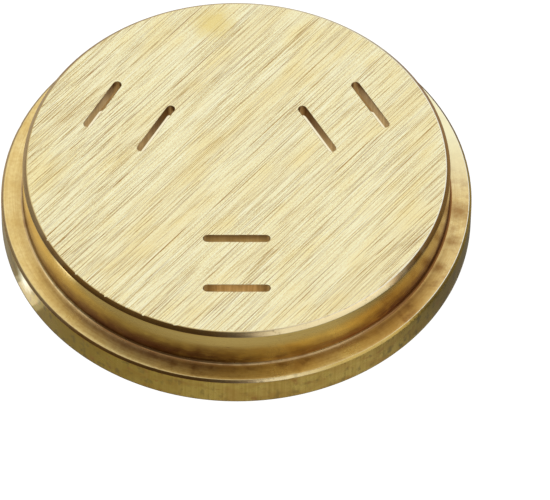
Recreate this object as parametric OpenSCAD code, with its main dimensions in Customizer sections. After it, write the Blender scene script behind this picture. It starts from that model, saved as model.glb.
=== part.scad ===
// Pasta extrusion die, turned from one piece of brass.
// It rests on its inlet face with the outlet face up. The origin is the centre of the inlet face.

/* [Turned blank] */
// Outside diameter of the flange, which sits in the extruder's head
flange_d = 57; // [50:0.5:90]
// Thickness of the flange
flange_h = 3.9; // [2:0.1:8]
// Width of the shoulder around the boss, where the ring nut clamps
shoulder_w = 2.7; // [1.5:0.1:4]
// Height of the boss above the flange
boss_h = 5.6; // [3:0.1:10]

/* [Outlet slots] */
// Number of feed bores, each with a pair of slots
pairs = 3; // [1:1:4]
// Length of a slot over its round ends, which is the noodle's width
slot_len = 8; // [4:0.5:14]
// Width of a slot, which is the noodle's thickness
slot_w = 1; // [0.6:0.1:2]
// Distance between the two slots of a pair, centre to centre
slot_spacing = 7.5; // [3:0.5:10]

/* [Feed bores] */
// Diameter of a feed bore on the inlet side
feed_d = 18; // [16:0.5:20]
// Wall left between a feed bore and the outside of the boss
feed_wall = 1.8; // [1:0.1:3]
// Metal left over a feed bore, which the slots are cut through
land = 1.8; // [0.8:0.1:4]

/* [Edges] */
// Chamfer around the outlet face
face_chamfer = 0.5; // [0.1:0.1:1.5]
// Chamfer on the upper edge of the flange's rim
rim_chamfer = 0.3; // [0.1:0.1:0.8]
// Fillet at the foot of the boss
foot_fillet = 0.3; // [0.1:0.1:0.6]
// Chamfer at the mouth of a feed bore
mouth_chamfer = 0.3; // [0.1:0.1:1]

/* [Hidden] */
$fn = 128;
// How far a cut runs past the face that it opens, and a fillet into the metal that it joins
overrun = 1;
brass = [0.86, 0.78, 0.52];

flange_r = flange_d / 2;
boss_r = flange_r - shoulder_w;
height = flange_h + boss_h;
feed_r = feed_d / 2;
feed_depth = height - land;
// Distance of a feed bore from the die's axis, set by its wall
pitch_r = boss_r - feed_wall - feed_r;
// The first pair lies towards -Y
first_angle = -90;

// Half section of the blank: flange, boss, broken edges and the fillet at the foot of the boss
module blank_section() {
    polygon([
        [0, 0],
        [flange_r, 0],
        [flange_r, flange_h - rim_chamfer],
        [flange_r - rim_chamfer, flange_h],
        [boss_r, flange_h],
        [boss_r, height - face_chamfer],
        [boss_r - face_chamfer, height],
        [0, height]
    ]);
    difference() {
        translate([boss_r - overrun, flange_h - overrun])
            square(foot_fillet + overrun);
        translate([boss_r + foot_fillet, flange_h + foot_fillet])
            circle(foot_fillet);
    }
}

// Outline of one slot, its length along Y
module slot_outline() {
    end_offset = (slot_len - slot_w) / 2;
    square([slot_w, 2 * end_offset], center = true);
    for (side = [-1, 1])
        translate([0, side * end_offset])
            circle(d = slot_w);
}

// The two slots of a pair, cut through the land, side by side along X
module slot_pair_cut() {
    for (side = [-1, 1])
        translate([side * slot_spacing / 2, 0, feed_depth - overrun])
            linear_extrude(land + 2 * overrun)
                slot_outline();
}

// A flat-bottomed bore from the inlet face, with its mouth broken
module feed_bore_cut() {
    translate([0, 0, -overrun])
        cylinder(r = feed_r, h = feed_depth + overrun);
    translate([0, 0, -overrun])
        cylinder(r1 = feed_r + mouth_chamfer + overrun, r2 = feed_r, h = mouth_chamfer + overrun);
}

module die() {
    color(brass)
        difference() {
            rotate_extrude()
                blank_section();
            for (i = [0 : pairs - 1])
                rotate(first_angle + i * 360 / pairs)
                    translate([pitch_r, 0, 0]) {
                        feed_bore_cut();
                        slot_pair_cut();
                    }
        }
}

die();
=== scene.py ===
"""Looks of the pasta extrusion die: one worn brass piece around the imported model, on a pale floor."""

import math

import bpy
from mathutils import Matrix, Vector, geometry, noise


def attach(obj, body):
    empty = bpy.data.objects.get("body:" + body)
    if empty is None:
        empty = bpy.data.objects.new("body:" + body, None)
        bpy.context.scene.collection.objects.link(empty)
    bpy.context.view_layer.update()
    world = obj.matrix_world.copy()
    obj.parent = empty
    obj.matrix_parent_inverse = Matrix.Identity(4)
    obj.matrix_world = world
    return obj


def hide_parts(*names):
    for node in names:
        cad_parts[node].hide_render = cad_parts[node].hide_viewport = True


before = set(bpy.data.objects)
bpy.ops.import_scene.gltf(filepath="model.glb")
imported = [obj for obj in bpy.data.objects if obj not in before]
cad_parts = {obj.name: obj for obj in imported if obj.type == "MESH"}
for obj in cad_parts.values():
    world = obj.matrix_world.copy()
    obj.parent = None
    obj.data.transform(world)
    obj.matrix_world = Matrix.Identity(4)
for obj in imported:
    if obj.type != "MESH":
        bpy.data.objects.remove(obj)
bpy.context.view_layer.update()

MM = 0.001

# The die in millimetres, as in the part's source
FLANGE_R = 28.5
FLANGE_H = 3.9
SHOULDER_W = 2.7
BOSS_H = 5.6
FACE_CHAMFER = 0.5
RIM_CHAMFER = 0.3
FOOT_FILLET = 0.3
FEED_R = 9.0
FEED_WALL = 1.8
LAND = 1.8
MOUTH_CHAMFER = 0.3
SLOT_LEN = 8.0
SLOT_W = 1.0
SLOT_SPACING = 7.5
PAIR_ANGLES = (-90, 30, 150)

BOSS_R = FLANGE_R - SHOULDER_W
HEIGHT = FLANGE_H + BOSS_H
FACE_R = BOSS_R - FACE_CHAMFER
FEED_TOP = HEIGHT - LAND
PITCH_R = BOSS_R - FEED_WALL - FEED_R
SLOT_OFFSETS = (-SLOT_SPACING / 2, SLOT_SPACING / 2)
# From the middle of a slot to the centre of its round end
SLOT_END = (SLOT_LEN - SLOT_W) / 2

# Fineness of the mesh
TURN_STEPS = 1440
FEED_STEPS = 192
SLOT_ARC_STEPS = 12
SLOT_SIDE_STEPS = 28
CORNER_STEPS = 3
FLAT_GRID = 1.2
FLAT_CLEARANCE = 0.4
SHARP_ANGLE = 35
# The triangulation's kind that keeps the faces within an outline and leaves its holes open
WITHIN_WITH_HOLES = 2
# Lengths under these count as none, in the triangulation and where a height is compared
SAME_POINT = 1e-6
SAME_HEIGHT = 0.001

# Roundness of the worn edges, and the flat ring kept inside the outer edges
CORNER_R = 0.06
SHOULDER_CORNER_R = 0.12
FACE_CORNER_R = 0.18
SLOT_LIP = 0.05
EDGE_RING = 0.2
# How far the wear of an edge reaches on to the surfaces beside it
WEAR_REACH = 0.35

# Nicks in the flange's upper edge: (angle, half width in degrees, depth)
NICKS = (
    (-76.5, 1.2, 0.03),
    (-73, 1.0, 0.03),
    (-110, 0.8, 0.04),
    (62, 1.2, 0.04),
    (158, 1.0, 0.03),
)
# How far a nick lowers the edge, as a share of its depth
NICK_DROP = 0.6
# Wear of that edge all round, and its waves per millimetre
RIM_WEAR = 0.01
RIM_WAVES = 2

# The part of the outlet face's edge that brushing has burred: (middle angle, half width in degrees)
BURRED = (-125, 45)
# Reach of the fine burrs all round that edge, what the burred part adds, and their waves per millimetre
FINE_BURRS = 0.03
MORE_BURRS = 0.26
BURR_WAVES = 4
# Burrs that stand out over the chamfer: (angle, half width in degrees, reach)
BURRS = (
    (-116, 0.5, 0.26),
    (-107, 0.6, 0.22),
    (-153, 0.5, 0.26),
    (-139, 0.4, 0.2),
    (-128, 0.4, 0.2),
)
# Reach of the burrs along the lips of the slots
SLOT_BURRS = 0.03
# Layers of the noise that moves the edges, one for each kind of edge
FACE_LAYER, RIM_LAYER, SLOT_LAYER = 1, 3, 7

# How far noise moves the edge of a smudge or a spot, and how soft the edge is
SMUDGE_EDGE = 2.0
SMUDGE_SOFT = 0.4
# Brown smudges on the shoulder: (x, y, reach)
SMUDGES = (
    (26.9, -2.6, 1.5),
    (26.1, -7.4, 0.9),
    (24.4, -11.2, 0.8),
    (20.6, -17.2, 0.6),
    (5.5, -25.9, 0.4),
    (8.2, -25.2, 0.4),
)
# The spot of the flange's rim with a painted highlight, nearly white and rougher: (x, y, reach)
RIM_HIGHLIGHT_SPOT = (-25.6, -12.5, 2.2)
# The golden stain near the back of the outlet face: (x, y, reach)
GOLDEN_SPOT = (-2.8, 22.2, 2.8)

# Direction of the brushing on the outlet face, in degrees from +X
BRUSH_ANGLE = 49
# Turn of the noise cells against the brush lines in degrees, and their size along the die's axis
CELL_TURN = 29
LINE_DEPTH = 5
# Pitch of the facing marks on the inlet face
FACING_PITCH = 0.3

# Floor and cards in millimetres; both lie just under the die
FLOOR_R = 4000
FLOOR_SIDES = 64
FLOOR_DROP = 0.02
CARD_DROP = 0.01
PLATE_R = 27
CARD_INNER_R, CARD_OUTER_R = 28.6, 44
# Degrees between the corners of the plate and of the cards
PLATE_STEP = 6
CARD_STEP = 2
# The floor's own colour, and the strength and the share of the white that the camera sees in it
FLOOR_GREY = (0.9, 0.9, 0.88, 1)
FLOOR_WHITE, FLOOR_WHITE_SHARE = 1.2, 0.85
# The surround grows brighter in this direction, over a range of the dot product, between two levels
AIR_TOWARDS = (0, 1, 1.5)
AIR_RANGE = (0.25, 1.6)
AIR_LEVELS = (0.12, 1.24)
# From the die to the softbox
SOFTBOX_DISTANCE = 600

# Photograph's frame and the camera that was fitted to it, in pixels, millimetres and degrees
IMAGE_W = 550
SENSOR = 36.0
FOCAL_PX = 7347.7
CAMERA_DISTANCE = 892.7
CAMERA_AZIMUTH = -90.4
CAMERA_ELEVATION = 51.77
CAMERA_PAN = -0.3043
CAMERA_TILT = -0.2813
CAMERA_ROLL = -0.4158
CLIP_START, CLIP_END = 50, 20000


class Shell:
    """The piece's points in millimetres, and its faces with their places in the map and their finishes."""

    def __init__(self):
        self.points = []
        self.faces = []
        self.places = []
        self.finishes = []

    def add_points(self, points):
        """Adds points and returns their numbers."""
        first = len(self.points)
        self.points.extend(points)
        return list(range(first, len(self.points)))

    def add_face(self, corners, places, finish):
        self.faces.append(corners)
        self.places.append(places)
        self.finishes.append(finish)

    def bridge(self, first, second, place, finish):
        """Joins two closed loops; the faces look into the loops where the second one is the lower.

        place(step, side) is the map place of a corner on the first loop, side 0, or the second, side 1.
        """
        count = len(first)
        for i in range(count):
            j = (i + 1) % count
            corners = (first[i], first[j], second[j], second[i])
            places = (place(i, 0), place(i + 1, 0), place(i + 1, 1), place(i, 1))
            self.add_face(corners, places, finish)

    def fill(self, loops, holes, reach, facing_up, place, finish):
        """Fills the flat area between the first loop and the others; inner points stay clear of the holes."""
        height = self.points[loops[0][0]].z
        used = [i for loop in loops for i in loop]
        edges = []
        start = 0
        for loop in loops:
            edges += [(start + i, start + (i + 1) % len(loop)) for i in range(len(loop))]
            start += len(loop)
        used += self.add_points([Vector((x, y, height)) for x, y in grid_points(reach, holes)])
        flat = [self.points[i].xy for i in used]
        outline = [list(range(len(loops[0])))]
        found = geometry.delaunay_2d_cdt(flat, edges, outline, WITHIN_WITH_HOLES, SAME_POINT)
        triangles, sources = found[2], found[3]
        for corners in triangles:
            indices = [used[sources[c][0]] for c in corners]
            spots = [self.points[i].xy for i in indices]
            if (geometry.normal([s.to_3d() for s in spots]).z > 0) != facing_up:
                indices.reverse()
                spots.reverse()
            self.add_face(tuple(indices), tuple(place(s) for s in spots), finish)


def grid_points(reach, holes):
    """Staggered points within a circle given as (x, y, radius), clear of its edge and of the holes."""
    cx, cy, radius = reach
    row_height = FLAT_GRID * math.sqrt(3) / 2
    rows = math.ceil(radius / row_height)
    columns = math.ceil(radius / FLAT_GRID)
    found = []
    for row in range(-rows, rows + 1):
        shift = FLAT_GRID / 2 * (row % 2)
        for column in range(-columns, columns + 1):
            x, y = column * FLAT_GRID + shift, row * row_height
            spot = Vector((cx + x, cy + y))
            clear = not any(hole(spot, FLAT_CLEARANCE) for hole in holes)
            if math.hypot(x, y) < radius - FLAT_CLEARANCE and clear:
                found.append(spot)
    return found


def direction(degrees):
    """Level unit vector at an angle from +X."""
    return Vector((math.cos(math.radians(degrees)), math.sin(math.radians(degrees))))


def raised(azimuth, elevation):
    """Unit vector at an azimuth from +X and an elevation above the floor, both in degrees."""
    level = math.radians(elevation)
    return Vector((*(direction(azimuth) * math.cos(level)), math.sin(level)))


def rough(x, y, waves, layer):
    """Smooth noise from -1 to 1 with that many waves per millimetre, the same on every run."""
    return noise.noise(Vector((waves * x, waves * y, layer)))


# Outside: a section turned about the axis, with worn edges


def rounded(before, corner, after, radius):
    """Points of an arc that rounds the corner between two straight runs of the section."""
    back = (before - corner).normalized()
    ahead = (after - corner).normalized()
    half = back.angle(ahead) / 2
    reach = radius / math.tan(half)
    centre = corner + (back + ahead).normalized() * (radius / math.sin(half))
    start = corner + back * reach - centre
    sweep = start.angle_signed(corner + ahead * reach - centre)
    steps = range(CORNER_STEPS + 1)
    return [centre + Matrix.Rotation(-sweep * s / CORNER_STEPS, 2) @ start for s in steps]


def outside_section():
    """(radius, height) points from the inlet face up to the outlet face, and the finish after each point."""
    # Corners: (radius, height, rounding, finish of the rounding, finish of the run after it)
    corners = [
        (FLANGE_R - EDGE_RING, 0, None, None, "inlet"),
        (FLANGE_R, 0, CORNER_R, "edge", "rim"),
        (FLANGE_R, FLANGE_H - RIM_CHAMFER, CORNER_R, "edge", "edge"),
        (FLANGE_R - RIM_CHAMFER, FLANGE_H, SHOULDER_CORNER_R, "lip", "shoulder"),
        (BOSS_R, FLANGE_H, FOOT_FILLET, "foot", "wall"),
        (BOSS_R, HEIGHT - FACE_CHAMFER, CORNER_R, "edge", "edge"),
        (FACE_R, HEIGHT, FACE_CORNER_R, "lip", "face"),
        (FACE_R - EDGE_RING, HEIGHT, None, None, None),
    ]
    points, finishes = [], []
    for i, (radius, height, bend, arc_finish, finish) in enumerate(corners):
        spot = Vector((radius, height))
        if bend is None:
            arc = [spot]
        else:
            arc = rounded(Vector(corners[i - 1][:2]), spot, Vector(corners[i + 1][:2]), bend)
        if points and (arc[0] - points[-1]).length > 3 * WEAR_REACH:
            run = (arc[0] - points[-1]).normalized() * WEAR_REACH
            points += [points[-1] + run, arc[0] - run]
            finishes += [finishes[-1]] * 2
        points += arc
        finishes += [arc_finish] * (len(arc) - 1) + [finish]
    return points, finishes[:-1]


def marks_at(degrees, marks):
    """Depth or reach, at an angle, of marks given as (angle, half width in degrees, depth or reach)."""
    return sum(most * max(0.0, 1 - ((degrees - at) / half) ** 2) for at, half, most in marks)


def worn(radius, height, degrees):
    """A point of the outside, moved by the burrs of the outlet face's edge and the nicks of the flange's."""
    way = direction(degrees)
    x, y = way * radius
    on_face_edge = height > HEIGHT - SAME_HEIGHT and radius > FACE_R - EDGE_RING / 2
    by_rim_chamfer = abs(height - FLANGE_H + RIM_CHAMFER / 2) < RIM_CHAMFER
    if on_face_edge:
        burred = max(0.0, 1 - abs(degrees - BURRED[0]) / BURRED[1])
        reach = FINE_BURRS + MORE_BURRS * burred
        radius += reach * max(0.0, rough(x, y, BURR_WAVES, FACE_LAYER))
        radius += marks_at(degrees, BURRS)
    elif by_rim_chamfer and radius > FLANGE_R - 2 * RIM_CHAMFER:
        nick = marks_at(degrees, NICKS)
        radius -= RIM_WEAR * (1 + rough(x, y, RIM_WAVES, RIM_LAYER)) + nick
        height -= NICK_DROP * nick
    return Vector((way.x * radius, way.y * radius, height))


def turn_outside(shell):
    """Adds the turned outside and returns its lowest and highest loops."""
    section, finishes = outside_section()
    runs = [0.0]
    for a, b in zip(section, section[1:]):
        runs.append(runs[-1] + (b - a).length)
    angles = [-180 + 360 * i / TURN_STEPS for i in range(TURN_STEPS)]
    loops = [shell.add_points([worn(p.x, p.y, a) for a in angles]) for p in section]
    half = TURN_STEPS // 2
    for k, finish in enumerate(finishes):
        spans = (runs[k] / runs[-1], runs[k + 1] / runs[-1])
        for i in range(TURN_STEPS):
            j = (i + 1) % TURN_STEPS
            strip, step = divmod(i, half)
            low, high = (strip_place(strip, step / half, s) for s in spans)
            low_next, high_next = (strip_place(strip, (step + 1) / half, s) for s in spans)
            corners = (loops[k][i], loops[k][j], loops[k + 1][j], loops[k + 1][i])
            shell.add_face(corners, (low, low_next, high_next, high), finish)
    return loops[0], loops[-1]


# Slots, feed bores and the two flat faces


def slot_frames():
    """(centre, angle of the pair) of each slot."""
    return [(direction(a) * (PITCH_R + s), a) for a in PAIR_ANGLES for s in SLOT_OFFSETS]


def slot_loop(centre, angle, widen, height):
    """Closed loop of a slot's outline, across the pair's radius, with burrs where it is widened."""
    out, along = direction(angle), direction(angle + 90)
    radius = SLOT_W / 2 + widen
    burrs = SLOT_BURRS if widen else 0.0
    spots = []
    for end in (1, -1):
        for s in range(SLOT_ARC_STEPS):
            turn = math.pi * s / SLOT_ARC_STEPS
            run, aside = SLOT_END + radius * math.sin(turn), radius * math.cos(turn)
            spots.append(centre + end * run * along + end * aside * out)
        for s in range(SLOT_SIDE_STEPS):
            run = SLOT_END * (1 - 2 * s / SLOT_SIDE_STEPS)
            spots.append(centre + end * run * along - end * radius * out)
    points = []
    for spot in spots:
        away = (spot - centre).normalized()
        moved = spot + away * burrs * rough(spot.x, spot.y, BURR_WAVES, SLOT_LAYER)
        points.append(Vector((moved.x, moved.y, height)))
    return points


def slot_hole(centre, angle):
    """Test for a spot within a slot, or nearer to it than a margin."""
    along = direction(angle + 90)

    def within(spot, margin):
        away = spot - centre
        run = max(-SLOT_END, min(SLOT_END, away.dot(along)))
        return (away - run * along).length < SLOT_W / 2 + margin

    return within


def round_hole(centre, radius):
    """Test for a spot within a round hole, or nearer to it than a margin."""
    return lambda spot, margin: (spot - centre).length < radius + margin


def cut_slots(shell):
    """Adds the slots' walls and returns each slot's top and bottom loops."""
    tops, bottoms = [], []
    for number, (centre, angle) in enumerate(slot_frames()):
        levels = ((0, FEED_TOP), (0, HEIGHT - SLOT_LIP), (SLOT_LIP, HEIGHT))
        loops = [shell.add_points(slot_loop(centre, angle, w, z)) for w, z in levels]
        count = len(loops[0])
        for level, (low, high) in enumerate(zip(loops, loops[1:])):
            shell.bridge(
                high,
                low,
                lambda i, side, level=level: slot_place(number, i / count, level + 1 - side),
                "channel",
            )
        bottoms.append(loops[0])
        tops.append(loops[-1])
    return tops, bottoms


def bore_feeds(shell, slot_bottoms):
    """Adds the feed bores, with their ceilings round the slots, and returns the loops of their mouths."""
    mouths = []
    slots = slot_frames()
    levels = ((FEED_R + MOUTH_CHAMFER, 0), (FEED_R, MOUTH_CHAMFER), (FEED_R, FEED_TOP))
    for number, angle in enumerate(PAIR_ANGLES):
        centre = direction(angle) * PITCH_R
        loops = []
        for radius, height in levels:
            spots = [centre + radius * direction(360 * i / FEED_STEPS) for i in range(FEED_STEPS)]
            loops.append(shell.add_points([Vector((s.x, s.y, height)) for s in spots]))
        heights = [height / FEED_TOP for radius, height in levels]
        for level, (low, high) in enumerate(zip(loops, loops[1:])):
            shell.bridge(
                high,
                low,
                lambda i, side, level=level: feed_place(number, i / FEED_STEPS, heights[level + 1 - side]),
                "channel",
            )
        pair = slice(2 * number, 2 * number + 2)
        shell.fill(
            [loops[-1], *slot_bottoms[pair]],
            [slot_hole(*s) for s in slots[pair]],
            (*centre, FEED_R),
            False,
            lambda spot: ceiling_place(number, (spot - centre) / FEED_R),
            "channel",
        )
        mouths.append(loops[0])
    return mouths


# Places in the map named OFBake: the outside in two strips, then the flats and the channels

STRIP_LOW = (0.005, 0.185)
STRIP_HEIGHT = 0.17
STRIP_LEFT, STRIP_WIDTH = 0.005, 0.99
FACE_MAP = (Vector((0.305, 0.695)), 0.3)
INLET_MAP = (Vector((0.805, 0.805)), 0.185)
FEED_LEFT, FEED_WIDTH = 0.62, 0.37
FEED_LOW, FEED_HEIGHT, FEED_PITCH = 0.493, 0.035, 0.041
CEILING_MAP = (Vector((0.675, 0.435)), 0.05)
CEILING_PITCH = 0.125
SLOT_LOW, SLOT_HEIGHT = 0.362, 0.014
SLOT_PITCH, SLOT_WIDTH = 0.165, 0.16


def strip_place(strip, along, across):
    return (STRIP_LEFT + STRIP_WIDTH * along, STRIP_LOW[strip] + STRIP_HEIGHT * across)


def disc_place(disc, spot):
    centre, radius = disc
    return tuple(centre + radius * spot)


def feed_place(number, along, across):
    return (FEED_LEFT + FEED_WIDTH * along, FEED_LOW + FEED_PITCH * number + FEED_HEIGHT * across)


def ceiling_place(number, spot):
    centre, radius = CEILING_MAP
    return (centre.x + CEILING_PITCH * number + radius * spot.x, centre.y + radius * spot.y)


def slot_place(number, along, level):
    left = STRIP_LEFT + SLOT_PITCH * number
    return (left + SLOT_WIDTH * along, SLOT_LOW + SLOT_HEIGHT * level / 2)


def die_shell():
    """The whole piece as one closed shell."""
    shell = Shell()
    inlet_loop, face_loop = turn_outside(shell)
    slot_tops, slot_bottoms = cut_slots(shell)
    mouths = bore_feeds(shell, slot_bottoms)
    shell.fill(
        [face_loop, *slot_tops],
        [slot_hole(*s) for s in slot_frames()],
        (0, 0, FACE_R - EDGE_RING),
        True,
        lambda spot: disc_place(FACE_MAP, spot / BOSS_R),
        "face",
    )
    shell.fill(
        [inlet_loop, *mouths],
        [round_hole(direction(a) * PITCH_R, FEED_R + MOUTH_CHAMFER) for a in PAIR_ANGLES],
        (0, 0, FLANGE_R - EDGE_RING),
        False,
        lambda spot: disc_place(INLET_MAP, spot / FLANGE_R),
        "inlet",
    )
    return shell


def new_object(name, data):
    """An object with that data, in the scene."""
    made = bpy.data.objects.new(name, data)
    bpy.context.scene.collection.objects.link(made)
    return made


def build_die(finishes):
    """The piece as a mesh object; finishes maps a finish's name to its material."""
    shell = die_shell()
    mesh = bpy.data.meshes.new("brass_die")
    mesh.from_pydata([p * MM for p in shell.points], [], shell.faces)
    names = list(finishes)
    for material in finishes.values():
        mesh.materials.append(material)
    mesh.polygons.foreach_set("material_index", [names.index(f) for f in shell.finishes])
    layer = mesh.uv_layers.new(name="OFBake")
    layer.data.foreach_set("uv", [x for places in shell.places for place in places for x in place])
    mesh.shade_smooth()
    mesh.set_sharp_from_angle(angle=math.radians(SHARP_ANGLE))
    mesh.validate()
    die = new_object("brass_die", mesh)
    weighted = die.modifiers.new("flat_faces", "WEIGHTED_NORMAL")
    weighted.keep_sharp = True
    return die


# Finishes: brass with its brushing, turning lines and tarnish, and painted light and shade

# Sockets of the colour mix node: its share and two colours, and its result
MIX_INPUTS = (0, 6, 7)
MIX_RESULT = 2


def blank_tree(owner):
    """Empty node tree of a material or a world."""
    owner.use_nodes = True
    owner.node_tree.nodes.clear()
    return owner.node_tree


def add_node(tree, kind, **settings):
    made = tree.nodes.new(kind)
    for name, value in settings.items():
        setattr(made, name, value)
    return made


class Finish:
    """One node material, with short calls for the nodes that the finishes share.

    Lengths are in millimetres. The colour is built up from a base and coats over it.
    """

    def __init__(self, name):
        self.material = bpy.data.materials.new(name)
        self.tree = blank_tree(self.material)
        self.colour = None
        self.surface = self.node("ShaderNodeBsdfPrincipled")
        self.surface.inputs["Metallic"].default_value = 1.0
        output = self.node("ShaderNodeOutputMaterial")
        self.tree.links.new(self.surface.outputs["BSDF"], output.inputs["Surface"])
        scaled = self.node("ShaderNodeVectorMath", operation="SCALE")
        scaled.inputs["Scale"].default_value = 1 / MM
        self.feed(scaled.inputs[0], self.node("ShaderNodeTexCoord").outputs["Object"])
        self.place = scaled.outputs["Vector"]
        split = self.node("ShaderNodeSeparateXYZ")
        self.feed(split.inputs[0], self.place)
        self.x, self.y, self.z = split.outputs
        squares = [self.math("POWER", side, 2.0) for side in (self.x, self.y)]
        self.radius = self.math("SQRT", self.math("ADD", *squares))

    def node(self, kind, **settings):
        return add_node(self.tree, kind, **settings)

    def feed(self, socket, value):
        """Sets a socket to a constant, or links it to another socket."""
        if isinstance(value, bpy.types.NodeSocket):
            self.tree.links.new(value, socket)
        else:
            socket.default_value = value

    def math(self, operation, *values):
        made = self.node("ShaderNodeMath", operation=operation)
        for socket, value in zip(made.inputs, values):
            self.feed(socket, value)
        return made.outputs[0]

    def times(self, first, second):
        return self.math("MULTIPLY", first, second)

    def moved(self, value, by, factor):
        """A value moved by another one times a factor, such as noise that makes an edge ragged."""
        return self.math("ADD", value, self.times(by, factor))

    def stretched(self, size, angle):
        """Places in units of size, which is (along, across, up), turned by an angle about the axis."""
        made = self.node("ShaderNodeMapping", vector_type="TEXTURE")
        self.feed(made.inputs["Vector"], self.place)
        made.inputs["Rotation"].default_value = (0, 0, math.radians(angle))
        made.inputs["Scale"].default_value = size
        return made.outputs["Vector"]

    def noise(self, size, angle=0, detail=2.0, roughness=0.5, offset=0.0):
        """Noise from 0 to 1 whose features have that size; each offset gives another pattern."""
        return self.noise_at(self.stretched(size, angle), detail, roughness, offset)

    def lines(self, length, width, angle, offset):
        """Noise from 0 to 1 in straight lines; its cells are turned, so that they don't show as bands."""
        turned = self.node("ShaderNodeVectorRotate", rotation_type="Z_AXIS")
        self.feed(turned.inputs["Vector"], self.stretched((length, width, LINE_DEPTH), angle))
        turned.inputs["Angle"].default_value = math.radians(CELL_TURN)
        return self.noise_at(turned.outputs["Vector"], detail=0.0, roughness=0.5, offset=offset)

    def rings(self, along, across):
        """Noise from 0 to 1 in rings about the axis, whose features have that length and width."""
        made = self.node("ShaderNodeCombineXYZ")
        sizes = ((self.x, along), (self.y, along), (self.radius, across))
        for socket, (value, size) in zip(made.inputs, sizes):
            self.feed(socket, self.math("DIVIDE", value, size))
        return self.noise_at(made.outputs["Vector"], detail=2.0, roughness=0.6, offset=0.0)

    def noise_at(self, places, detail, roughness, offset):
        made = self.node("ShaderNodeTexNoise", noise_dimensions="4D")
        self.feed(made.inputs["Vector"], places)
        made.inputs["W"].default_value = offset
        made.inputs["Scale"].default_value = 1.0
        made.inputs["Detail"].default_value = detail
        made.inputs["Roughness"].default_value = roughness
        return made.outputs["Fac"]

    def ramp(self, value, start, end, low=0.0, high=1.0):
        """low at start and before it, high at end and after it, and a straight line between them."""
        made = self.node("ShaderNodeMapRange")
        names = ("Value", "From Min", "From Max", "To Min", "To Max")
        for name, given in zip(names, (value, start, end, low, high)):
            self.feed(made.inputs[name], given)
        return made.outputs["Result"]

    def profile(self, value, *stops):
        """Straight lines through stops, each a value and the level there."""
        first, last = stops[0][0], stops[-1][0]
        made = self.node("ShaderNodeValToRGB")
        self.feed(made.inputs["Fac"], self.ramp(value, first, last))
        marks = made.color_ramp.elements
        marks[0].color = (*[stops[0][1]] * 3, 1)
        marks[1].color = (*[stops[-1][1]] * 3, 1)
        for at, level in stops[1:-1]:
            marks.new((at - first) / (last - first)).color = (level, level, level, 1)
        return made.outputs["Color"]

    def soft_patch(self, x, y, reach, height):
        """Soft round patch, 1 in its middle and ragged at its edge."""
        away = self.node("ShaderNodeVectorMath", operation="DISTANCE")
        self.feed(away.inputs[0], self.place)
        away.inputs[1].default_value = (x, y, height)
        clouds = self.noise((0.7, 0.7, 0.7), detail=3.0, roughness=0.6, offset=6.0)
        distance = self.moved(away.outputs["Value"], clouds, SMUDGE_EDGE)
        middle = SMUDGE_EDGE / 2
        return self.ramp(distance, reach + middle + SMUDGE_SOFT, reach / 2 + middle - SMUDGE_SOFT)

    def mix(self, share, first, second):
        """Colour from first at share 0 to second at share 1."""
        made = self.node("ShaderNodeMix", data_type="RGBA")
        for i, value in zip(MIX_INPUTS, (share, first, second)):
            self.feed(made.inputs[i], (*value, 1.0) if isinstance(value, tuple) else value)
        return made.outputs[MIX_RESULT]

    def base(self, share, first, second):
        """Starts the colour, from first at share 0 to second at share 1."""
        self.colour = self.mix(share, first, second)

    def coat(self, share, colour):
        """Lays a colour over what is there, as far as its share from 0 to 1."""
        self.colour = self.mix(share, self.colour, colour)

    def finish(self, roughness, height, depth):
        """Gives the surface its colour, its roughness and a bump of that depth, and returns the material."""
        self.feed(self.surface.inputs["Base Color"], self.colour)
        self.feed(self.surface.inputs["Roughness"], roughness)
        bump = self.node("ShaderNodeBump")
        bump.inputs["Distance"].default_value = depth * MM
        self.feed(bump.inputs["Height"], height)
        self.feed(self.surface.inputs["Normal"], bump.outputs["Normal"])
        return self.material


def brushed_face():
    """Outlet face: pale brass with straight brush lines, golden blotches and one golden stain.

    Its dark scratches gather in patches and at the left.
    """
    f = Finish("brushed_face")
    light = f.ramp(f.lines(9, 0.075, BRUSH_ANGLE + 1, 0.0), 0.53, 0.6)
    short = f.ramp(f.lines(6, 0.06, BRUSH_ANGLE - 1, 5.0), 0.38, 0.32)
    long = f.ramp(f.lines(18, 0.08, BRUSH_ANGLE + 1, 9.0), 0.36, 0.31)
    grain = f.noise((0.18, 0.12, 5), BRUSH_ANGLE, detail=0.0, offset=13.0)
    patches = f.noise((12, 5, 9), BRUSH_ANGLE, detail=1.0, offset=2.0)
    bands = f.noise((40, 3, 20), BRUSH_ANGLE, detail=1.0, offset=7.0)
    blotches = f.noise((7, 3, 7), BRUSH_ANGLE, offset=11.0)
    at_left = f.ramp(f.x, -6.0, -14.0)
    gathered = f.math("MAXIMUM", f.ramp(patches, 0.38, 0.64, 0.5, 0.95), at_left)
    scratches = f.math("MAXIMUM", f.times(short, gathered), f.times(long, 0.95))
    f.base(f.ramp(grain, 0.3, 0.7), (0.84, 0.70, 0.37), (1.0, 0.965, 0.625))
    f.coat(f.times(light, 0.85), (1.0, 0.97, 0.70))
    f.coat(f.ramp(bands, 0.45, 0.7, 0.0, 0.35), (0.90, 0.75, 0.38))
    f.coat(f.ramp(blotches, 0.5, 0.7, 0.0, 0.4), (0.95, 0.77, 0.32))
    f.coat(f.times(f.soft_patch(*GOLDEN_SPOT, HEIGHT), 0.7), (0.84, 0.66, 0.22))
    f.coat(f.times(scratches, 0.95), (0.40, 0.21, 0.04))
    roughness = f.ramp(grain, 0.3, 0.7, 0.42, 0.32)
    return f.finish(roughness, f.math("SUBTRACT", light, scratches), 0.006)


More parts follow.
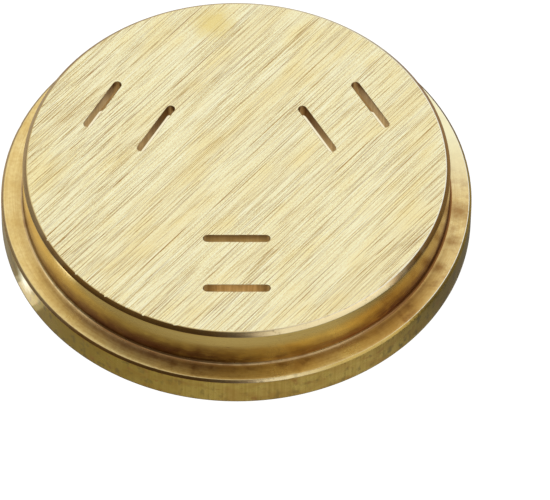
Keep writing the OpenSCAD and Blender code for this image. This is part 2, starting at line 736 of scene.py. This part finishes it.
def cut_edge():
    """Chamfers: brown at the left, with a pale painted highlight at the front right that turns gold on the
    flange's chamfer, a fainter painted highlight at the far left, darker olive painted shade at the right,
    and dark specks.
    """
    f = Finish("cut_edge")
    specks = f.ramp(f.noise((0.5, 0.5, 0.5), detail=3.0, roughness=0.6), 0.42, 0.3)
    wear = f.noise((3, 3, 3), offset=5.0)
    # Painted highlight: pale at the front right and fainter at the far left, over brown brass elsewhere
    chamfer_highlight = f.profile(
        f.moved(f.x, wear, 8.0),
        (-24, 0.4), (-19, 0.4), (-16, 0.0), (0, 0.0), (10, 1.0), (21, 1.0), (26, 0.0),
    )
    on_flange = f.ramp(f.z, FLANGE_H + 0.5, FLANGE_H + 0.1)
    f.base(chamfer_highlight, (0.43, 0.21, 0.05), (0.84, 0.70, 0.40))
    # Painted highlight colour: on the flange's chamfer it turns gold from x 5 mm on
    f.coat(f.times(on_flange, f.ramp(f.x, 5.0, 12.0, 0.0, 0.85)), (0.50, 0.34, 0.07))
    # Painted shade: darker olive at the right
    f.coat(f.ramp(f.x, 19.0, 25.0, 0.0, 0.2), (0.26, 0.20, 0.06))
    f.coat(f.times(specks, 0.5), (0.30, 0.20, 0.08))
    return f.finish(f.ramp(wear, 0.3, 0.7, 0.26, 0.18), f.noise((0.4, 0.4, 0.4)), 0.003)


def lip_wear_and_highlight():
    """Rounded edges of the outlet face and the shoulder: worn to plain gold brass, with a painted highlight
    that makes them nearly white towards the right.
    """
    f = Finish("lip_wear_and_highlight")
    wear = f.noise((0.8, 0.8, 0.8), detail=3.0, roughness=0.6)
    # Painted highlight: nearly white towards the right, from x 0 on the face's lip and from x 21 mm on the
    # shoulder's
    highlight_from = f.ramp(f.z, FLANGE_H + 0.5, FLANGE_H + 1.5, 21.0, 0.0)
    painted_highlight = f.ramp(f.moved(f.x, wear, 6.0), highlight_from, 27.0)
    f.base(painted_highlight, (0.74, 0.57, 0.26), (1.0, 0.96, 0.78))
    f.coat(f.ramp(wear, 0.45, 0.3, 0.0, 0.5), (0.45, 0.30, 0.10))
    return f.finish(f.ramp(wear, 0.3, 0.7, 0.36, 0.28), wear, 0.003)


def foot_wear_and_painted_light():
    """Fillet at the boss's foot: bright at the left and the front as painted highlight, brown between them
    and at the right as painted shade.
    """
    f = Finish("foot_wear_and_painted_light")
    wear = f.noise((1.5, 1.5, 1.5), detail=3.0, roughness=0.6)
    # Painted highlight where it is bright and painted shade where it is brown, by side
    painted_foot_light = f.profile(
        f.moved(f.x, wear, 4.0),
        (-24, 0.4), (-20, 0.9), (-17, 0.7), (-14, 0.1), (-4, 0.15),
        (3, 0.5), (14, 0.45), (19, 0.1), (24, 0.0),
    )
    f.base(painted_foot_light, (0.26, 0.11, 0.03), (0.94, 0.72, 0.36))
    f.coat(f.ramp(wear, 0.48, 0.36, 0.0, 0.4), (0.30, 0.14, 0.05))
    return f.finish(f.ramp(wear, 0.3, 0.7, 0.34, 0.24), wear, 0.003)


def turned_wall():
    """Side of the boss: fine turning lines and dark specks; darker olive at the left and the right as painted
    shade; red-brown towards its foot, partly tarnished brass and partly painted shade, with dark patches of
    painted shade low down.
    """
    f = Finish("turned_wall")
    lines = f.noise((30, 30, 0.09), detail=3.0, roughness=0.7)
    clouds = f.noise((4, 4, 1.5), detail=3.0, offset=3.0)
    specks = f.ramp(f.noise((0.8, 0.8, 0.3), offset=9.0), 0.36, 0.26)
    # Dark patches of painted shade low on the wall, strongest at the front left and the right
    foot_shade_clouds = f.ramp(f.noise((2.6, 2.6, 1.2), detail=4.0, roughness=0.65, offset=12.0), 0.38, 0.54)
    low_foot_shade = f.times(foot_shade_clouds, f.ramp(f.z, FLANGE_H + 3.6, FLANGE_H + 1.0))
    # Painted shade over tarnished brass: red-brown, growing towards the foot
    level = f.moved(f.moved(f.z, clouds, 2.4), f.x, 0.02)
    tarnish_and_shade = f.ramp(level, FLANGE_H + 4.2, FLANGE_H + 1.6)
    # Painted shade: darker olive at the left and the right; then how strong the red-brown at the foot and the
    # low patches are, by side
    side_shade = f.profile(f.x, (-24, 0.0), (-14, 0.6), (-2, 0.15), (12, 0.15), (18, 0.4), (24, 0.75))
    tarnish_shade_sides = f.profile(f.x, (-24, 0.6), (-16, 1.0), (-8, 0.95), (-1, 0.45), (4, 0.6), (12, 1.0))
    foot_shade_sides = f.profile(f.x, (-24, 0.2), (-19, 0.7), (-3, 0.7), (4, 0.25), (14, 0.25), (18, 0.9))
    f.base(f.ramp(lines, 0.3, 0.7), (0.76, 0.57, 0.19), (0.90, 0.72, 0.30))
    f.coat(side_shade, (0.36, 0.25, 0.06))
    f.coat(f.times(tarnish_and_shade, tarnish_shade_sides), (0.24, 0.10, 0.03))
    f.coat(f.times(specks, 0.4), (0.22, 0.12, 0.04))
    f.coat(f.times(low_foot_shade, foot_shade_sides), (0.14, 0.045, 0.035))
    return f.finish(f.ramp(tarnish_and_shade, 0, 1, 0.2, 0.3), lines, 0.004)


def stained_shoulder():
    """Top of the flange: turned brass with fine rings, with a pale cream painted highlight at the back right,
    and paler as painted highlight at the left and the front left.

    It is brown in front and at the right, partly oxide and partly painted shade, darker along the boss's foot
    as painted shade and greyer at the far sides, with stains and smudges.
    """
    f = Finish("stained_shoulder")
    clouds = f.noise((4, 4, 4), detail=3.0, roughness=0.55)
    fine = f.noise((0.4, 0.4, 0.4), detail=3.0, roughness=0.6, offset=4.0)
    stains = f.ramp(f.noise((2.2, 1.6, 2.2), detail=3.0, roughness=0.55, offset=8.0), 0.52, 0.66)
    # Painted highlight: paler at the left, the front left and around x 12 mm
    pale = f.profile(
        f.x,
        (-26, 0.0), (-19, 0.5), (-14, 0.9), (-8, 0.5), (-1, 0.0), (8, 0.0), (12, 0.6), (16, 0.0),
    )
    # Greyer at the far left and the far right
    greyer_sides = f.profile(f.x, (-28, 0.3), (-22, 0.1), (-16, 0.0), (20, 0.0), (26, 0.5))
    oxide_and_shade_sides = f.profile(
        f.x,
        (-17, 0.0), (-13, 0.05), (-2, 0.6), (6, 0.4), (12, 0.0), (15, 0.4), (20, 1.0), (24, 0.6),
    )
    stained = f.profile(
        f.x,
        (-19, 0.1), (-14, 0.2), (-8, 0.5), (-4, 0.6), (12, 0.2), (20, 0.7), (27, 0.4),
    )
    # Brown in front and at the right: partly oxide, partly painted shade
    front = f.times(f.ramp(f.y, -8.0, -18.0), oxide_and_shade_sides)
    # Painted shade along the boss's foot
    by_boss = f.ramp(f.moved(f.radius, clouds, 1.6), BOSS_R + 2.2, BOSS_R + 1.0)
    # Painted highlight: pale cream at the back right
    painted_sheen = f.times(f.ramp(f.x, 12.0, 20.0), f.ramp(f.y, -1.0, 9.0, 0.0, 0.8))
    f.base(f.ramp(clouds, 0.35, 0.65), (0.89, 0.64, 0.21), (0.99, 0.80, 0.36))
    f.coat(pale, (0.98, 0.85, 0.46))
    f.coat(greyer_sides, (0.72, 0.58, 0.30))
    f.coat(f.ramp(f.rings(9, 0.16), 0.4, 0.65, 0.0, 0.4), (0.60, 0.38, 0.12))
    f.coat(f.ramp(fine, 0.42, 0.66, 0.0, 0.35), (0.62, 0.38, 0.11))
    f.coat(f.times(front, 0.58), (0.54, 0.27, 0.06))
    f.coat(f.times(by_boss, 0.3), (0.42, 0.23, 0.07))
    f.coat(f.times(stains, stained), (0.34, 0.15, 0.04))
    for spot in SMUDGES:
        f.coat(f.times(f.soft_patch(*spot, FLANGE_H), 0.75), (0.32, 0.15, 0.04))
    f.coat(painted_sheen, (1.0, 0.97, 0.66))
    return f.finish(f.ramp(clouds, 0.3, 0.7, 0.36, 0.24), fine, 0.006)


def lined_rim():
    """Side of the flange: olive, tarnished brass with fine lines along the axis, darker at the left and the
    right as painted shade, and a nearly white painted highlight in one spot at the left.

    Dark and rusty spots lie all round it.
    """
    f = Finish("lined_rim")
    lines = f.noise((0.22, 0.22, 12), roughness=0.6)
    clouds = f.noise((3, 3, 1.6), detail=3.0, roughness=0.55, offset=4.0)
    spots = f.ramp(f.noise((0.9, 0.9, 1.4), detail=3.0, roughness=0.6, offset=8.0), 0.48, 0.34)
    spotted = f.profile(f.x, (-20, 0.75), (0, 0.35), (12, 0.45), (22, 0.8))
    rusty = f.noise((1.3, 1.3, 0.9), detail=3.0, roughness=0.6, offset=15.0)
    # Painted shade: darker olive at the left and the right
    side_shade = f.profile(
        f.x,
        (-27, 0.85), (-20, 0.85), (-10, 0.5), (0, 0.08), (14, 0.05), (19, 0.3), (25, 0.85),
    )
    # Painted highlight: a spot at the left made nearly white, and rougher, where the left card's reflection
    # lands
    rim_highlight = f.soft_patch(*RIM_HIGHLIGHT_SPOT, FLANGE_H)
    f.base(f.ramp(lines, 0.3, 0.7), (0.60, 0.45, 0.11), (0.78, 0.60, 0.19))
    f.coat(f.ramp(clouds, 0.45, 0.65, 0.0, 0.5), (0.48, 0.25, 0.06))
    f.coat(side_shade, (0.32, 0.22, 0.02))
    f.coat(f.times(spots, spotted), (0.20, 0.15, 0.05))
    f.coat(f.ramp(rusty, 0.56, 0.7, 0.0, 0.6), (0.40, 0.17, 0.05))
    f.coat(rim_highlight, (0.92, 0.88, 0.68))
    return f.finish(f.moved(f.ramp(clouds, 0.3, 0.7, 0.24, 0.34), rim_highlight, 0.14), lines, 0.003)


def dull_channel():
    """Walls of the slots and feed bores: brown brass.

    Painted shade makes it darkest in the inner front slot, at the front slots' ends and at the back slots'
    far ends.
    """
    f = Finish("dull_channel")
    lines = f.noise((0.25, 0.25, 6), roughness=0.6)
    clouds = f.noise((2, 2, 2), detail=3.0, offset=4.0)
    aside = f.math("ABSOLUTE", f.x)
    # Painted shade in the inner slots, strongest in the front one
    inner = f.times(f.ramp(f.radius, 18.0, 11.0, 0.0, 0.65), f.ramp(f.y, 2.0, -4.0, 0.3, 1.0))
    # Painted shade at the ends of the front slots
    ends = f.times(f.ramp(aside, 2.2, 3.6, 0.0, 0.6), f.ramp(f.y, 0.0, -4.0))
    # Distance along a back slot from its middle
    slope = math.radians(PAIR_ANGLES[1])
    along = f.math("SUBTRACT", f.times(f.y, math.cos(slope)), f.times(aside, math.sin(slope)))
    # Painted shade in the back slots, growing towards their far ends; at the near ends it is slight in the
    # inner slots
    near_end = f.ramp(f.radius, 13.0, 17.0, 0.1, 0.36)
    far = f.times(f.ramp(f.y, 0.0, 4.0), f.ramp(along, -2.5, 2.5, near_end, 0.66))
    f.base(f.ramp(lines, 0.3, 0.7), (0.57, 0.38, 0.18), (0.88, 0.67, 0.38))
    f.coat(f.ramp(clouds, 0.45, 0.7, 0.0, 0.4), (0.50, 0.32, 0.11))
    f.coat(inner, (0.30, 0.18, 0.06))
    f.coat(ends, (0.26, 0.15, 0.05))
    f.coat(far, (0.19, 0.095, 0.035))
    return f.finish(f.ramp(clouds, 0.3, 0.7, 0.36, 0.5), lines, 0.006)


def turned_inlet():
    """Inlet face: facing marks in rings about the axis, under light tarnish."""
    f = Finish("turned_inlet")
    marks = f.math("SINE", f.times(f.radius, 2 * math.pi / FACING_PITCH))
    clouds = f.noise((6, 6, 6), detail=4.0, roughness=0.55)
    f.base(f.ramp(marks, -1, 1), (0.68, 0.52, 0.22), (0.84, 0.70, 0.36))
    f.coat(f.ramp(f.rings(40, 0.45), 0.42, 0.64, 0.0, 0.5), (0.50, 0.36, 0.14))
    f.coat(f.ramp(clouds, 0.45, 0.7, 0.0, 0.6), (0.52, 0.35, 0.13))
    return f.finish(f.ramp(clouds, 0.3, 0.7, 0.3, 0.42), marks, 0.005)


# Studio: floor, lights and camera


def studio_floor():
    """Pale floor: nearly white to the camera, as a cut-out background, and pale grey to reflections."""
    bpy.ops.mesh.primitive_circle_add(
        vertices=FLOOR_SIDES,
        radius=FLOOR_R * MM,
        fill_type="NGON",
        location=(0, 0, -FLOOR_DROP * MM),
    )
    floor = bpy.context.object
    floor.name = "studio_floor"
    material = bpy.data.materials.new("studio_floor")
    tree = blank_tree(material)
    grey = add_node(tree, "ShaderNodeBsdfDiffuse")
    grey.inputs["Color"].default_value = FLOOR_GREY
    white = add_node(tree, "ShaderNodeEmission")
    white.inputs["Strength"].default_value = FLOOR_WHITE
    ray = add_node(tree, "ShaderNodeLightPath")
    share = add_node(tree, "ShaderNodeMath", operation="MULTIPLY")
    share.inputs[1].default_value = FLOOR_WHITE_SHARE
    mix = add_node(tree, "ShaderNodeMixShader")
    output = add_node(tree, "ShaderNodeOutputMaterial")
    tree.links.new(ray.outputs["Is Camera Ray"], share.inputs[0])
    tree.links.new(share.outputs[0], mix.inputs[0])
    tree.links.new(grey.outputs[0], mix.inputs[1])
    tree.links.new(white.outputs[0], mix.inputs[2])
    tree.links.new(mix.outputs[0], output.inputs["Surface"])
    floor.data.materials.append(material)


def ramp_node(tree, start, end, low, high):
    """Node that goes from low at start to high at end, in a straight line."""
    made = add_node(tree, "ShaderNodeMapRange")
    for name, value in zip(("From Min", "From Max", "To Min", "To Max"), (start, end, low, high)):
        made.inputs[name].default_value = value
    return made


def fade_along_x(tree, glow, start, end, low, high):
    """Lets the strength of a glow go from low at x = start to high at x = end, in millimetres."""
    place = add_node(tree, "ShaderNodeSeparateXYZ")
    level = ramp_node(tree, start * MM, end * MM, low, high)
    tree.links.new(add_node(tree, "ShaderNodeTexCoord").outputs["Object"], place.inputs[0])
    tree.links.new(place.outputs["X"], level.inputs["Value"])
    tree.links.new(level.outputs["Result"], glow.inputs["Strength"])


def glowing_card(name, corners, radiance, colour, fade=None):
    """Flat card that lights what faces it; fade is (start, end, radiance at its end) along +X."""
    mesh = bpy.data.meshes.new(name)
    mesh.from_pydata([(x * MM, y * MM, -CARD_DROP * MM) for x, y in corners], [], [range(len(corners))])
    material = bpy.data.materials.new(name)
    tree = blank_tree(material)
    glow = add_node(tree, "ShaderNodeEmission")
    glow.inputs["Color"].default_value = (*colour, 1)
    glow.inputs["Strength"].default_value = radiance
    output = add_node(tree, "ShaderNodeOutputMaterial")
    tree.links.new(glow.outputs[0], output.inputs["Surface"])
    if fade:
        start, end, last = fade
        fade_along_x(tree, glow, start, end, radiance, last)
    mesh.materials.append(material)
    card = new_object(name, mesh)
    return card


def ring_card(name, start, end, radiance, colour, fade=None):
    """Part of a ring on the floor round the die, between two angles. It shows only in reflections."""
    angles = range(start, end + 1, CARD_STEP)
    corners = [direction(a) * CARD_INNER_R for a in angles]
    corners += [direction(a) * CARD_OUTER_R for a in reversed(angles)]
    glowing_card(name, corners, radiance, colour, fade).visible_camera = False


def floor_cards():
    """A lit plate under the die, seen only through its bores, and cards round it that its sides reflect."""
    plate = [direction(a) * PLATE_R for a in range(0, 360, PLATE_STEP)]
    glowing_card("plate", plate, radiance=1.0, colour=(0.95, 0.86, 0.6))
    ring_card("dim_card", -148, 200, radiance=0.48, colour=(1.0, 0.93, 0.76), fade=(17, 27, 0.23))
    ring_card("back_left_card", -160, -158, radiance=0.9, colour=(1.0, 1.0, 0.9))
    ring_card("left_card", -158, -150, radiance=1.6, colour=(1.0, 1.0, 1.0))
    ring_card("front_left_card", -150, -148, radiance=0.9, colour=(1.0, 1.0, 0.9))


def studio_air():
    """Light from all round that grows towards the top and the back.

    Where the camera sees past the floor it is white.
    """
    world = bpy.data.worlds.new("studio_air")
    bpy.context.scene.world = world
    tree = blank_tree(world)
    towards = add_node(tree, "ShaderNodeVectorMath", operation="DOT_PRODUCT")
    towards.inputs[1].default_value = AIR_TOWARDS
    level = ramp_node(tree, *AIR_RANGE, *AIR_LEVELS)
    soft = add_node(tree, "ShaderNodeBackground")
    white = add_node(tree, "ShaderNodeBackground")
    white.inputs["Color"].default_value = (1, 1, 1, 1)
    ray = add_node(tree, "ShaderNodeLightPath")
    mix = add_node(tree, "ShaderNodeMixShader")
    output = add_node(tree, "ShaderNodeOutputWorld")
    tree.links.new(add_node(tree, "ShaderNodeTexCoord").outputs["Generated"], towards.inputs[0])
    tree.links.new(towards.outputs["Value"], level.inputs["Value"])
    tree.links.new(level.outputs["Result"], soft.inputs["Strength"])
    tree.links.new(ray.outputs["Is Camera Ray"], mix.inputs[0])
    tree.links.new(soft.outputs[0], mix.inputs[1])
    tree.links.new(white.outputs[0], mix.inputs[2])
    tree.links.new(mix.outputs[0], output.inputs["Surface"])


def softbox(name, azimuth, elevation, wide, high, radiance):
    """Area light that the die sees at that azimuth and elevation, wide and high degrees across."""
    way = raised(azimuth, elevation)
    distance = SOFTBOX_DISTANCE * MM
    light = bpy.data.lights.new(name, "AREA")
    light.shape = "RECTANGLE"
    light.size = 2 * distance * math.tan(math.radians(wide / 2))
    light.size_y = 2 * distance * math.tan(math.radians(high / 2))
    light.energy = math.pi * light.size * light.size_y * radiance
    box = new_object(name, light)
    box.location = way * distance
    box.rotation_mode = "QUATERNION"
    box.rotation_quaternion = (-way).to_track_quat("-Z", "Y")


def photo_camera():
    """Camera fitted to the photograph: it faces the origin, then pans, tilts and rolls a little."""
    back = raised(CAMERA_AZIMUTH, CAMERA_ELEVATION)
    ahead, right = -back, direction(CAMERA_AZIMUTH + 90).to_3d()
    up = right.cross(ahead)
    pan = Matrix.Rotation(math.radians(CAMERA_PAN), 3, up)
    ahead, right = pan @ ahead, pan @ right
    tilt = Matrix.Rotation(math.radians(CAMERA_TILT), 3, right)
    ahead, up = tilt @ ahead, tilt @ up
    roll = Matrix.Rotation(math.radians(CAMERA_ROLL), 3, ahead)
    right, up = roll @ right, roll @ up
    lens = bpy.data.cameras.new("photo_camera")
    lens.sensor_width = SENSOR
    lens.lens = FOCAL_PX * SENSOR / IMAGE_W
    lens.clip_start, lens.clip_end = CLIP_START * MM, CLIP_END * MM
    camera = new_object("photo_camera", lens)
    turn = Matrix((right, up, -ahead)).transposed().to_4x4()
    camera.matrix_world = Matrix.Translation(back * (CAMERA_DISTANCE * MM)) @ turn
    bpy.context.scene.camera = camera


def main():
    finishes = {
        "face": brushed_face(),
        "edge": cut_edge(),
        "lip": lip_wear_and_highlight(),
        "wall": turned_wall(),
        "foot": foot_wear_and_painted_light(),
        "shoulder": stained_shoulder(),
        "rim": lined_rim(),
        "channel": dull_channel(),
        "inlet": turned_inlet(),
    }
    die = build_die(finishes)
    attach(die, "root")
    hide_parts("die")
    studio_floor()
    floor_cards()
    studio_air()
    softbox("front_right", azimuth=-45, elevation=33, wide=60, high=28, radiance=0.95)
    photo_camera()
    bpy.context.scene.view_settings.view_transform = "Standard"


main()
